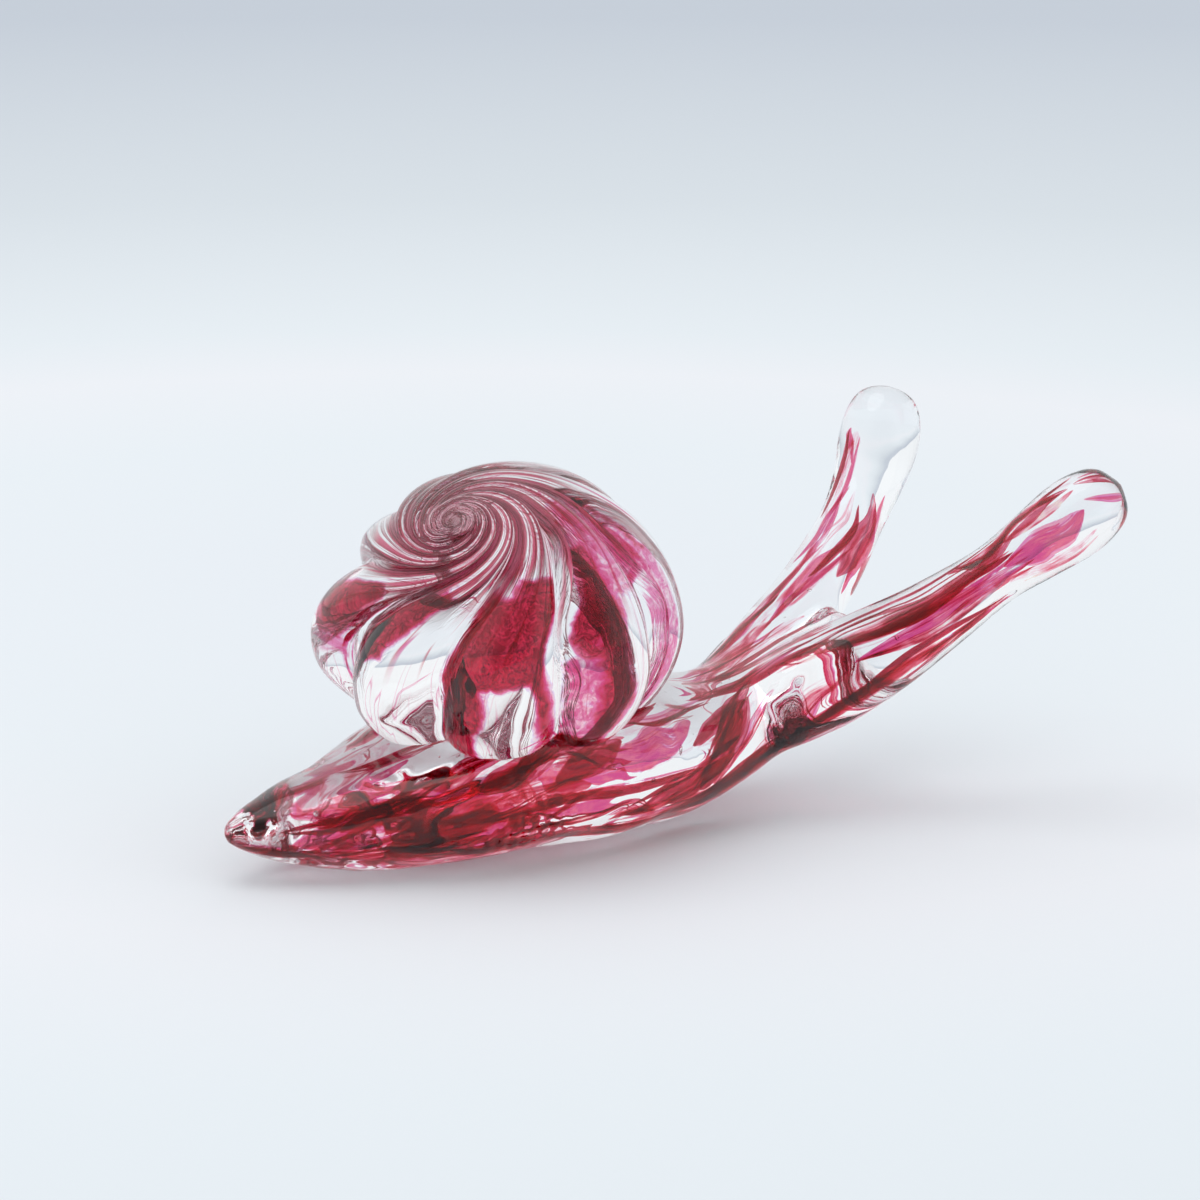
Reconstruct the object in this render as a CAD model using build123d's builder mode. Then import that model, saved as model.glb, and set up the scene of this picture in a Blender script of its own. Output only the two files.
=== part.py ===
from build123d import *
import math
import os

# A snail of solid hot-worked glass, resting on the ground flat of its foot.
# The tentacles reach towards +X, the tail towards -X, and +Z is up. The origin lies on the
# resting face, under the middle of the shell. Clear glass is cased round ruby glass, and each
# ruby piece fills a pocket of its own in the clear one around it. All sizes are in millimetres.

# Foot: one clear gather drawn out from the tail tip to the crotch between the tentacles
tail_reach = 66.0
neck_reach = 89.0
foot_width = 58.0
foot_height = 26.0
rest_grind = 1.0
shoulder_share = 0.62
tail_tip_share = 0.40
crotch_share = 1.54

# Rows of foot sections: reach, width, underside and top as shares of the four sizes above
tail_shares = (
    (0.985, 0.055, 0.38, 0.45),
    (0.93, 0.145, 0.29, 0.56),
    (0.82, 0.31, 0.14, 0.71),
    (0.64, 0.55, 0.02, 0.81),
    (0.36, 0.86, 0.00, 1.10),
)
neck_shares = (
    (0.00, 1.00, 0.00, 1.44),
    (0.24, 0.94, 0.00, 1.45),
    (0.41, 0.76, 0.03, 1.30),
    (0.56, 0.65, 0.14, 1.30),
    (0.71, 0.63, 0.36, 1.44),
    (0.84, 0.61, 0.66, 1.58),
    (0.94, 0.42, 1.04, 1.66),
)

# Tentacles: drawn from the head side of the same gather, with a rounded bulb at each end
tentacle_reach = 78.0
tentacle_rise = 54.0
tentacle_spread = 40.0
root_depth = 39.0
root_height_share = 0.77
root_spread_share = 0.07
right_bulb_radius = 9.2
left_bulb_radius = 9.9
right_path_shares = (
    (0.00, 0.00, 0.00), (0.25, 0.18, 0.17), (0.52, 0.48, 0.43), (0.80, 0.78, 0.75), (1.00, 1.00, 1.00),
)
left_path_shares = (
    (0.00, 0.00, 0.00), (0.27, 0.14, 0.17), (0.56, 0.39, 0.47), (0.82, 0.64, 0.81), (0.97, 0.77, 1.13),
)
girth_shares = (
    (0.05, 0.62),
    (0.16, 0.98),
    (0.27, 1.04),
    (0.40, 0.93),
    (0.54, 0.80),
    (0.68, 0.72),
    (0.80, 0.84),
    (0.89, 0.98),
    (0.95, 0.91),
    (0.985, 0.62),
)

# Shell: a ball of clear glass, fluted in a mould, then twisted and leant over at its top.
# Its flattened base sinks into the back of the foot.
shell_radius = 37.8
base_flattening_share = 0.70
shell_sink = 19.0
shell_forward = 2.8
rib_depth = 6.3
rib_bearing = -51.0
apex_tilt = 40.0
apex_bearing = -147.0

# Each rib: where its first valley lies, in steps of an even rib, and how far its crest swells
rib_shares = (
    (0.00, 0.00), (1.00, -0.02), (2.00, -0.01), (3.00, 0.00),
    (4.00, 0.01), (4.95, 0.12), (5.85, 0.01), (6.98, 0.00),
)

# Twist of the ribs: each row is a strength and the angle from the apex where it fades
twist_rows = ((60000.0, 20.0), (2500.0, 4.0))
section_angles = (
    3.0, 3.7, 4.5, 5.5, 6.8, 8.5, 10.5, 13.0, 16.0, 20.0, 25.0, 31.0, 39.0,
    50.0, 64.0, 80.0, 96.0, 112.0, 128.0, 144.0, 160.0, 172.0,
)

# Inside the shell: a coat of ruby glass on a clear core, torn open where the chips ran apart
casing_thickness = 5.6
coat_thickness = 1.7
inner_angles = section_angles[8:-1]

# Tears in the coat: their angle from the apex, bearing on that section and radius share
tear_shares = ((84.0, -125.0, 0.62), (88.0, -62.0, 0.22), (70.0, 120.0, 0.50), (128.0, 20.0, 0.35))

# Ruby streaks in the foot, as rows of reach, side, height, width and thickness shares
tail_streak_shares = (
    (-0.93, 0.00, 0.42, 0.00, 0.00),
    (-0.84, 0.00, 0.42, 0.15, 0.14),
    (-0.68, 0.00, 0.42, 0.32, 0.26),
    (-0.50, 0.00, 0.43, 0.46, 0.34),
    (-0.37, 0.00, 0.38, 0.39, 0.26),
    (-0.28, 0.00, 0.33, 0.00, 0.00),
)
side_streak_shares = (
    (-0.30, 0.27, 0.46, 0.00, 0.00),
    (-0.18, 0.29, 0.50, 0.12, 0.34),
    (0.02, 0.31, 0.56, 0.15, 0.52),
    (0.22, 0.30, 0.60, 0.14, 0.48),
    (0.40, 0.24, 0.63, 0.10, 0.30),
    (0.50, 0.21, 0.65, 0.00, 0.00),
)
neck_streak_shares = (
    (0.52, 0.00, 0.66, 0.00, 0.00),
    (0.58, 0.00, 0.72, 0.30, 0.40),
    (0.66, 0.00, 0.82, 0.38, 0.50),
    (0.75, 0.00, 0.96, 0.34, 0.46),
    (0.84, 0.00, 1.12, 0.23, 0.30),
    (0.90, 0.00, 1.24, 0.00, 0.00),
)

# Ruby drawn out along a tentacle: place along its path and share of the bulb's radius
tentacle_streak_shares = (
    (0.30, 0.40), (0.45, 0.42), (0.62, 0.36), (0.76, 0.46), (0.86, 0.60), (0.92, 0.42),
)
streak_ends_share = (0.20, 0.955)

os.makedirs("parts", exist_ok=True)


def oval(plane, half_width, rise, drop):
    """An oval face of four quarter arcs, so that lofts between ovals have four clean sides."""
    with BuildSketch(plane, mode=Mode.PRIVATE) as section:
        with BuildLine():
            for quarter, half_height in ((0, rise), (90, rise), (180, drop), (270, drop)):
                EllipticalCenterArc(
                    (0, 0), half_width, half_height, start_angle=quarter, arc_size=90
                )
        make_face()
    return section.sketch


# Shell, worked out from its apex down to its base
back_height = foot_height * neck_shares[0][3]
shell_height = back_height - shell_sink + shell_radius * base_flattening_share
coat_share = 1 - casing_thickness / shell_radius
core_share = coat_share - coat_thickness / shell_radius


def shell_plane(angle, share):
    """The plane of the shell's section that far from the apex, leaning less towards the base."""
    lean = math.radians(apex_tilt * (1 - angle / 180))
    bearing = math.radians(apex_bearing)
    axis = Vector(
        math.sin(lean) * math.cos(bearing), math.sin(lean) * math.sin(bearing), math.cos(lean)
    )
    centre = Vector(shell_forward, 0, shell_height)
    height = shell_radius * share * math.cos(math.radians(angle))
    if height < 0:
        height *= base_flattening_share
    origin = centre + axis * height
    return Plane(origin, x_dir=(-math.sin(bearing), math.cos(bearing), 0), z_dir=axis)


def rib_turn(angle):
    """How far the ribs have turned, in degrees, that far from the apex."""
    return rib_bearing + sum(strength / (angle**2 + fade**2) for strength, fade in twist_rows)


def on_circle(radius, angle):
    return radius * math.cos(angle), radius * math.sin(angle)


def shell_section(angle, share):
    """A fluted face across the shell: one arc for each rib, meeting in sharp valleys."""
    spread = math.sin(math.radians(angle))
    ball = shell_radius * share * spread
    valley = ball * (1 - rib_depth / shell_radius)
    step = 2 * math.pi / len(rib_shares)
    start = math.radians(rib_turn(angle))
    valleys = [start + place * step for place, _ in rib_shares]
    valleys.append(valleys[0] + 2 * math.pi)
    with BuildSketch(shell_plane(angle, share), mode=Mode.PRIVATE) as section:
        with BuildLine():
            for rib, (_, swell) in enumerate(rib_shares):
                low, high = valleys[rib], valleys[rib + 1]
                crest = ball * (1 + swell * spread**2)
                ThreePointArc(
                    on_circle(valley, low),
                    on_circle(crest, (low + high) / 2),
                    on_circle(valley, high),
                )
        make_face()
    return section.sketch


with BuildPart() as shell_form:
    loft([shell_section(angle, 1) for angle in section_angles])

with BuildPart() as coat_form:
    loft([shell_section(angle, coat_share) for angle in inner_angles])

with BuildPart() as shell_core:
    loft([shell_section(angle, core_share) for angle in inner_angles])

with BuildPart() as shell_ruby_coat:
    add(coat_form.part)
    add(shell_core.part, mode=Mode.SUBTRACT)
    for angle, bearing, radius_share in tear_shares:
        x, y = on_circle(
            shell_radius * coat_share * math.sin(math.radians(angle)), math.radians(bearing)
        )
        with Locations(shell_plane(angle, coat_share).from_local_coords((x, y, 0))):
            Sphere(shell_radius * radius_share, mode=Mode.SUBTRACT)

with BuildPart() as shell_casing:
    add(shell_form.part)
    add(shell_core.part, mode=Mode.SUBTRACT)
    add(shell_ruby_coat.part, mode=Mode.SUBTRACT)


# Foot, from the tail tip to the crotch
def foot_section(x, width_share, low_share, top_share):
    """One upright section of the foot, widest at its shoulder."""
    low = low_share * foot_height - rest_grind
    top = top_share * foot_height
    shoulder = low + shoulder_share * (top - low)
    plane = Plane((x, 0, shoulder), x_dir=(0, 1, 0), z_dir=(1, 0, 0))
    return oval(plane, width_share * foot_width / 2, top - shoulder, shoulder - low)


foot_sections = [foot_section(-tail_reach * reach, *shares) for reach, *shares in tail_shares]
foot_sections += [foot_section(neck_reach * reach, *shares) for reach, *shares in neck_shares]

with BuildPart() as foot_form:
    loft([
        Vertex(-tail_reach, 0, tail_tip_share * foot_height),
        *foot_sections,
        Vertex(neck_reach, 0, crotch_share * foot_height),
    ])
    split(bisect_by=Plane.XY, keep=Keep.TOP)


def streak_sections(rows, side):
    """The sections of a ruby streak in the foot, between its two pointed ends."""
    sections = []
    for reach, out, height, width, thickness in rows:
        along = reach * (tail_reach if reach < 0 else neck_reach)
        centre = (along, side * out * foot_width, height * foot_height)
        if width:
            plane = Plane(centre, x_dir=(0, 1, 0), z_dir=(1, 0, 0))
            half_height = thickness * foot_height / 2
            sections.append(oval(plane, width * foot_width / 2, half_height, half_height))
        else:
            sections.append(Vertex(*centre))
    return sections


with BuildPart() as tail_streak:
    loft(streak_sections(tail_streak_shares, 0))
    add(shell_form.part, mode=Mode.SUBTRACT)

with BuildPart() as right_foot_streak:
    loft(streak_sections(side_streak_shares, -1))
    add(shell_form.part, mode=Mode.SUBTRACT)

with BuildPart() as left_foot_streak:
    loft(streak_sections(side_streak_shares, 1))
    add(shell_form.part, mode=Mode.SUBTRACT)

with BuildPart() as neck_streak:
    loft(streak_sections(neck_streak_shares, 0))
    add(shell_form.part, mode=Mode.SUBTRACT)

with BuildPart() as foot_casing:
    add(foot_form.part)
    add(shell_form.part, mode=Mode.SUBTRACT)
    add(tail_streak.part, mode=Mode.SUBTRACT)
    add(right_foot_streak.part, mode=Mode.SUBTRACT)
    add(left_foot_streak.part, mode=Mode.SUBTRACT)
    add(neck_streak.part, mode=Mode.SUBTRACT)


# Tentacles, each from the middle of the neck out to the end of its bulb
def tentacle_path(shares, side):
    """The centre line of a tentacle, from its root in the foot to the end of its bulb."""
    root_x = neck_reach - root_depth
    points = [
        (
            root_x + tentacle_reach * along,
            side * (root_spread_share * foot_width + tentacle_spread * out),
            root_height_share * foot_height + tentacle_rise * up,
        )
        for along, out, up in shares
    ]
    return Spline(*points, mode=Mode.PRIVATE)


def tentacle_sections(path, bulb_radius, shares):
    """Round sections square to the path, at each place along it."""
    sections = []
    for along, girth in shares:
        plane = Plane(path @ along, x_dir=(0, 0, 1), z_dir=path % along)
        radius = bulb_radius * girth
        sections.append(oval(plane, radius, radius, radius))
    return sections


def path_end(path, along):
    return Vertex(*(path @ along))


right_path = tentacle_path(right_path_shares, -1)
left_path = tentacle_path(left_path_shares, 1)
streak_start, streak_end = streak_ends_share

with BuildPart() as right_tentacle_streak:
    loft([
        path_end(right_path, streak_start),
        *tentacle_sections(right_path, right_bulb_radius, tentacle_streak_shares),
        path_end(right_path, streak_end),
    ])
    add(foot_form.part, mode=Mode.SUBTRACT)

with BuildPart() as left_tentacle_streak:
    loft([
        path_end(left_path, streak_start),
        *tentacle_sections(left_path, left_bulb_radius, tentacle_streak_shares),
        path_end(left_path, streak_end),
    ])
    add(foot_form.part, mode=Mode.SUBTRACT)

with BuildPart() as right_tentacle:
    loft([
        path_end(right_path, 0),
        *tentacle_sections(right_path, right_bulb_radius, girth_shares),
        path_end(right_path, 1),
    ])
    split(bisect_by=Plane.XZ, keep=Keep.TOP)
    add(foot_form.part, mode=Mode.SUBTRACT)
    add(right_tentacle_streak.part, mode=Mode.SUBTRACT)

with BuildPart() as left_tentacle:
    loft([
        path_end(left_path, 0),
        *tentacle_sections(left_path, left_bulb_radius, girth_shares),
        path_end(left_path, 1),
    ])
    split(bisect_by=Plane.XZ, keep=Keep.BOTTOM)
    add(foot_form.part, mode=Mode.SUBTRACT)
    add(left_tentacle_streak.part, mode=Mode.SUBTRACT)

pieces = {
    "foot_casing": foot_casing,
    "tail_streak": tail_streak,
    "right_foot_streak": right_foot_streak,
    "left_foot_streak": left_foot_streak,
    "neck_streak": neck_streak,
    "right_tentacle": right_tentacle,
    "right_tentacle_streak": right_tentacle_streak,
    "left_tentacle": left_tentacle,
    "left_tentacle_streak": left_tentacle_streak,
    "shell_casing": shell_casing,
    "shell_ruby_coat": shell_ruby_coat,
    "shell_core": shell_core,
}

for name, piece in pieces.items():
    piece.part.label = name
    export_step(piece.part, f"parts/{name}.step")
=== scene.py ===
import math
import random
import bmesh
import bpy
from mathutils import Matrix, Vector, noise
from mathutils.bvhtree import BVHTree


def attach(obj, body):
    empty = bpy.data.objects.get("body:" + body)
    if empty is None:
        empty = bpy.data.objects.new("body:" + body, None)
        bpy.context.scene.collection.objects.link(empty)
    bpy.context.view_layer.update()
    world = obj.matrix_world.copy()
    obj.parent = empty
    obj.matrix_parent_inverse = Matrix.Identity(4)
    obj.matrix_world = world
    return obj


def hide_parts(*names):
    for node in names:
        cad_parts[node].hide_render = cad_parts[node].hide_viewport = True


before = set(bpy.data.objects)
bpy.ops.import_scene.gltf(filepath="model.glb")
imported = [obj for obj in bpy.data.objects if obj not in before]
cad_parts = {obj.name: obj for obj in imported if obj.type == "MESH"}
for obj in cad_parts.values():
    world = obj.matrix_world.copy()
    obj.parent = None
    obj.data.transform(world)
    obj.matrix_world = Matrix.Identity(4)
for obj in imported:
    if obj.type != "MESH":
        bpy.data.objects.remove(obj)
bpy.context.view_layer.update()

# Lengths are in metres, as in the frame
MM = 0.001

# Camera: the photograph's own viewpoint, level with a table seen from a chair
camera_azimuth = -30.0
camera_elevation = 13.0
camera_distance = 900 * MM
camera_view = 16.43
camera_target = Vector((24.6, -0.65, 50.8)) * MM

# Painted light: the table's colour is brightest just behind the snail, as a painted pool of light
painted_light_centre = Vector((110, 240, 0)) * MM

# Foot: the drawn-out gather, in rows of place along X, half width, underside and top
foot_shoulder = 0.62
foot_rows = [
    (-65.4, 0.0, 10.8, 10.8),
    (-65.0, 1.5, 9.6, 12.1),
    (-64.0, 2.7, 8.5, 13.2),
    (-61.4, 4.6, 6.9, 15.0),
    (-58.0, 6.6, 5.2, 16.7),
    (-52.0, 10.4, 3.0, 18.8),
    (-42.2, 16.0, 0.2, 20.9),
    (-33.0, 20.8, -0.8, 24.2),
    (-23.8, 24.9, -1.0, 28.2),
    (0.0, 29.0, -1.0, 37.4),
    (21.4, 27.3, -1.0, 37.0),
    (36.5, 22.0, -0.2, 32.6),
    (49.8, 18.6, 2.6, 31.0),
    (61.0, 17.2, 7.6, 33.2),
    (72.0, 16.6, 15.0, 36.8),
    (80.0, 15.0, 22.6, 39.2),
    (86.0, 12.0, 29.0, 40.8),
    (90.0, 7.5, 34.0, 41.0),
    (92.0, 0.0, 37.8, 37.8),
]

# Tentacles: the points each one passes through, and its girth along the way
right_tentacle_points = [
    (50.0, -5.0, 18.0), (69.5, -11.6, 26.8), (90.6, -23.3, 40.8), (112.4, -35.3, 58.2), (130.6, -45.2, 73.6),
]
left_tentacle_points = [
    (50.0, 4.6, 19.0), (72.0, 9.7, 28.2), (95.4, 19.4, 44.8), (114.2, 29.5, 63.8), (123.4, 35.2, 83.6),
]
right_bulb_radius = 9.4
left_bulb_radius = 9.9
right_girth_rows = [
    (0.00, 0.20), (0.05, 0.68), (0.16, 1.14), (0.27, 1.24), (0.40, 1.12), (0.54, 0.89),
    (0.68, 0.73), (0.78, 0.84), (0.87, 0.95), (0.935, 0.87), (0.98, 0.58), (1.00, 0.00),
]
left_girth_rows = [
    (0.00, 0.20), (0.05, 0.66), (0.16, 1.00), (0.27, 1.04), (0.40, 0.95), (0.54, 0.82),
    (0.68, 0.75), (0.78, 0.84), (0.87, 0.95), (0.935, 0.87), (0.98, 0.58), (1.00, 0.00),
]
melt_size = 0.75 * MM
fork_place = Vector((76, -3, 34))
lump_height = 0.75
ripple_height = 0.14

# Ridges that the glassmaker's jacks left low on the foot's near side
jack_place = Vector((-6, -25, 11))
jack_pitch = 3.1
jack_depth = 0.16

# Shell: a fluted ball, twisted and leant over at its top
shell_radius = 37.8
shell_centre = Vector((2.8, 0, 44.9))
base_flattening = 0.70
shoulder_swell = 0.03
base_taper = 0.05
rib_depth = 6.3
rib_bearing = -52.5
apex_tilt = 40.0
apex_bearing = -147.0
rib_rows = [
    (0.00, 0.00), (1.00, -0.02), (2.00, -0.01), (3.00, 0.00),
    (4.00, 0.01), (4.95, 0.12), (5.85, 0.01), (6.98, 0.00), (8.00, 0.00),
]
rib_count = len(rib_rows) - 1
twist_rows = [(57000.0, 20.0), (16000.0, 7.0)]
casing_share = 1 - 5.6 / shell_radius
core_share = casing_share - 1.7 / shell_radius

# Finish of the shell's top: a raised button, a coil groove and the mark of the glassmaker's rod
button_rise = 1.5
button_angle = 11.0
coil_depth = 0.35
coil_pitch = 4.6
nub_place = (6.6, -82.0)
nub_rise = 1.1
nub_radius = 1.5


def smoothly(rows, place):
    """Every column of the rows at that place, joined by smooth curves. The first column is the place."""
    last = len(rows) - 2
    for start in range(last + 1):
        if place <= rows[start + 1][0] or start == last:
            break
    near, far = rows[start], rows[start + 1]
    before, after = rows[max(start - 1, 0)], rows[min(start + 2, last + 1)]
    span = far[0] - near[0]
    t = min(max((place - near[0]) / span, 0), 1)
    values = []
    for column in range(1, len(near)):
        slope_near = (far[column] - before[column]) / (far[0] - before[0]) * span
        slope_far = (after[column] - near[column]) / (after[0] - near[0]) * span
        values.append(
            near[column] * (1 + 2 * t) * (1 - t) ** 2
            + slope_near * t * (1 - t) ** 2
            + far[column] * t**2 * (3 - 2 * t)
            + slope_far * t**2 * (t - 1)
        )
    return values


def fade(low, high, value):
    """From 0 at low to 1 at high, smoothly."""
    t = min(max((value - low) / (high - low), 0), 1)
    return t * t * (3 - 2 * t)


def path_rows(points):
    """The points of a path as rows, each after its share of the path's length."""
    lengths = [0.0]
    for here, there in zip(points, points[1:]):
        lengths.append(lengths[-1] + math.dist(here, there))
    return [(length / lengths[-1], *point) for length, point in zip(lengths, points)]


def add_ball(mesh, segments, rings):
    """A ball of radius one in the mesh, with its poles on Z. Gives its vertices."""
    made = bmesh.ops.create_uvsphere(mesh, u_segments=segments, v_segments=rings, radius=1)
    return made["verts"]


def ball_place(vertex):
    """How far down the ball a vertex lies, from 0 to 1, and its angle round the axis."""
    down = math.acos(min(max(vertex.co.z, -1), 1)) / math.pi
    return down, math.atan2(vertex.co.y, vertex.co.x)


def face_outwards(mesh):
    """Turns the whole mesh the right way out, if its volume counts as negative."""
    if mesh.calc_volume(signed=True) < 0:
        bmesh.ops.reverse_faces(mesh, faces=mesh.faces)


def make_piece(mesh, name, materials, slot, nodes=()):
    """Turns the mesh into a smooth piece, which rides on the snail only when a slot is given."""
    data = bpy.data.meshes.new(name)
    mesh.to_mesh(data)
    mesh.free()
    data.shade_smooth()
    piece = bpy.data.objects.new(name, data)
    bpy.context.scene.collection.objects.link(piece)
    for material in materials:
        data.materials.append(material)
    if slot:
        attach(piece, "root")
    if nodes:
        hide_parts(*nodes)
    return piece


def rib_turn(angle):
    """How far the ribs have turned, in degrees, that far from the apex."""
    return rib_bearing + sum(strength / (angle**2 + fading**2) for strength, fading in twist_rows)


def flute(turn, angle):
    """The bearing from the first valley and the radius share of a point of a fluted section."""
    steps = (turn / (2 * math.pi)) % 1 * rib_count
    rib = min(int(steps), rib_count - 1)
    (low, swell), high = rib_rows[rib], rib_rows[rib + 1][0]
    place = low + (steps - rib) * (high - low)
    half = (high - low) * math.pi / rib_count
    spread = math.sin(math.radians(angle))
    depth = rib_depth / shell_radius * fade(button_angle - 6, button_angle + 6, angle)
    valley = 1 - depth
    crest = 1 + swell * spread**2
    off = (2 * (steps - rib) - 1) * half
    middle = (crest**2 - valley**2) / (2 * (crest - valley * math.cos(half)))
    radius = middle * math.cos(off) + math.sqrt((crest - middle) ** 2 - (middle * math.sin(off)) ** 2)
    return place * 2 * math.pi / rib_count, radius


def coil_phase(angle, turn):
    """How far round the coil lines have come, at that angle from the apex and that turn of the ribs."""
    return 2 * math.pi * angle / coil_pitch + flute(turn, angle)[0] + math.radians(rib_turn(angle))


def shell_point(angle, turn, share):
    """A point of the shell: its angle from the apex, its turn round it in the ribs' own count."""
    lean = math.radians(apex_tilt * (1 - angle / 180))
    bearing = math.radians(apex_bearing)
    axis = Vector((math.sin(lean) * math.cos(bearing), math.sin(lean) * math.sin(bearing), math.cos(lean)))
    across = Vector((-math.sin(bearing), math.cos(bearing), 0))
    up = axis.cross(across)
    height = shell_radius * share * math.cos(math.radians(angle))
    if height < 0:
        height *= base_flattening
    place, radius = flute(turn, angle)
    radius *= shell_radius * share * math.sin(math.radians(angle))
    radius *= 1 + shoulder_swell * fade(25, 60, angle) * (1 - fade(70, 110, angle)) - base_taper * fade(95, 150, angle)
    phi = place + math.radians(rib_turn(angle))
    if share == 1:
        top = 1 - fade(button_angle - 3, button_angle + 3, angle)
        coil = 0.5 + 0.5 * math.cos(coil_phase(angle, turn))
        coil *= fade(2, 6, angle) * (1 - fade(9, 15, angle))
        height += button_rise * top - coil_depth * coil
        nub_down, nub_bearing = nub_place
        nub_out = shell_radius * math.sin(math.radians(nub_down))
        nub_x = radius * math.cos(phi) - nub_out * math.cos(math.radians(nub_bearing))
        nub_y = radius * math.sin(phi) - nub_out * math.sin(math.radians(nub_bearing))
        if angle < 2 * nub_down:
            height += nub_rise * math.exp(-(nub_x**2 + nub_y**2) / nub_radius**2)
    out = across * math.cos(phi) + up * math.sin(phi)
    return (shell_centre + axis * height + out * radius) * MM


def shell_surface(mesh, share, segments, rings, crowding=1.3):
    """Adds the shell's surface at that share of its size, with its unwound place kept on each vertex."""
    unwound = mesh.verts.layers.float_vector.get("unwound") or mesh.verts.layers.float_vector.new("unwound")
    made = add_ball(mesh, segments, rings)
    for vertex in made:
        down, turn = ball_place(vertex)
        angle = 180 * down**crowding
        vertex[unwound] = vertex.co
        vertex.co = shell_point(angle, turn, share)
    return made


def foot_surface(mesh):
    """The foot from its tail tip to the crotch between the tentacles."""
    tail, crotch = foot_rows[0][0], foot_rows[-1][0]
    for vertex in add_ball(mesh, 96, 120):
        down, turn = ball_place(vertex)
        x = tail + (crotch - tail) * (1 - math.cos(math.pi * down)) / 2
        half_width, low, top = smoothly(foot_rows, x)
        shoulder = low + foot_shoulder * (top - low)
        rise = top - shoulder if math.sin(turn) > 0 else shoulder - low
        y, z = half_width * math.cos(turn), shoulder + rise * math.sin(turn)
        vertex.co = Vector((x, y, z)) * MM


def along_path(rows, place):
    """The point and the heading at that share of a path."""
    here = Vector(smoothly(rows, place))
    step = 0.01
    ahead, behind = min(place + step, 1), max(place - step, 0)
    return here, (Vector(smoothly(rows, ahead)) - Vector(smoothly(rows, behind))).normalized()


def tentacle_surface(mesh, points, girth_rows, bulb_radius):
    """A tentacle from its root inside the neck to the end of its bulb."""
    rows = path_rows(points)
    for vertex in add_ball(mesh, 64, 96):
        down, turn = ball_place(vertex)
        place = (1 - math.cos(math.pi * down)) / 2
        (girth,) = smoothly(girth_rows, place)
        here, heading = along_path(rows, place)
        level = heading.cross(Vector((0, 0, 1))).normalized()
        upright = level.cross(heading)
        out = level * math.cos(turn) + upright * math.sin(turn)
        vertex.co = (here + out * max(girth, 0) * bulb_radius) * MM


def apply_modifier(piece, kind, **settings):
    """Puts one modifier on the piece and makes its result the piece's mesh."""
    modifier = piece.modifiers.new(kind.lower(), kind)
    for setting, value in settings.items():
        setattr(modifier, setting, value)
    with bpy.context.temp_override(object=piece, active_object=piece, selected_objects=[piece]):
        bpy.ops.object.modifier_apply(modifier=modifier.name)


def tooled(place):
    """How far the foot's surface swells or sinks where it was tooled hot, at a place in mm."""
    broad = noise.noise(Vector((place.x / 17, place.y / 9, place.z / 8)))
    narrow = noise.noise(Vector((place.x / 7 + 40, place.y / 3.4, place.z / 3.4)))
    swell = (broad * lump_height + narrow * ripple_height) * (1 - fade(60, 84, place.x))
    swell *= fade(-63, -50, place.x)
    from_jacks = (place - jack_place).length
    ridges = math.sin((place.x + 0.35 * place.z) * 2 * math.pi / jack_pitch)
    return swell + jack_depth * ridges * (1 - fade(6, 15, from_jacks))


def melt_body(material):
    """Foot and tentacles melted into one body of clear glass."""
    mesh = bmesh.new()
    foot_surface(mesh)
    tentacle_surface(mesh, right_tentacle_points, right_girth_rows, right_bulb_radius)
    tentacle_surface(mesh, left_tentacle_points, left_girth_rows, left_bulb_radius)
    face_outwards(mesh)
    body = make_piece(mesh, "body_glass", [material], None)
    apply_modifier(body, "REMESH", mode="VOXEL", voxel_size=melt_size)
    web = body.vertex_groups.new(name="web")
    for vertex in body.data.vertices:
        from_fork = (vertex.co / MM - fork_place).length
        if from_fork < 40:
            web.add([vertex.index], 1 - fade(17, 40, from_fork), "REPLACE")
    apply_modifier(body, "SMOOTH", factor=0.5, iterations=220, vertex_group="web")
    apply_modifier(body, "SMOOTH", factor=0.5, iterations=8)
    body.vertex_groups.clear()
    places = [vertex.co + vertex.normal * tooled(vertex.co / MM) * MM for vertex in body.data.vertices]
    for vertex, place in zip(body.data.vertices, places):
        vertex.co = (place.x, place.y, max(place.z, 0))
    body.data.shade_smooth()
    return body


def new_material(name):
    """A material with only its output, ready for its own nodes."""
    material = bpy.data.materials.new(name)
    material.use_nodes = True
    material.node_tree.nodes.clear()
    return material, material.node_tree


def add_node(tree, kind, inputs=None, **settings):
    """A node with its settings, and values or links for the inputs that are named."""
    node = tree.nodes.new(kind)
    for setting, value in settings.items():
        setattr(node, setting, value)
    for name, value in (inputs or {}).items():
        if isinstance(value, bpy.types.NodeSocket):
            tree.links.new(value, node.inputs[name])
        else:
            node.inputs[name].default_value = value
    return node


def sums(tree, operation, *values, clamp=False):
    """One step of arithmetic on numbers or sockets. Gives its result's socket."""
    return add_node(
        tree, "ShaderNodeMath", dict(enumerate(values)), operation=operation, use_clamp=clamp
    ).outputs[0]


def blend_colours(tree, share, first, second, blend_type="MIX"):
    """Two colours mixed by a share."""
    node = add_node(tree, "ShaderNodeMix", data_type="RGBA", blend_type=blend_type)
    for index, value in ((0, share), (6, first), (7, second)):
        if isinstance(value, bpy.types.NodeSocket):
            tree.links.new(value, node.inputs[index])
        else:
            node.inputs[index].default_value = value
    return node.outputs[2]


def step_up(tree, value, low, high):
    """A soft step of a value, from 0 at low to 1 at high."""
    return add_node(
        tree, "ShaderNodeMapRange", {"Value": value, "From Min": low, "From Max": high},
        interpolation_type="SMOOTHSTEP",
    ).outputs[0]


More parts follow.
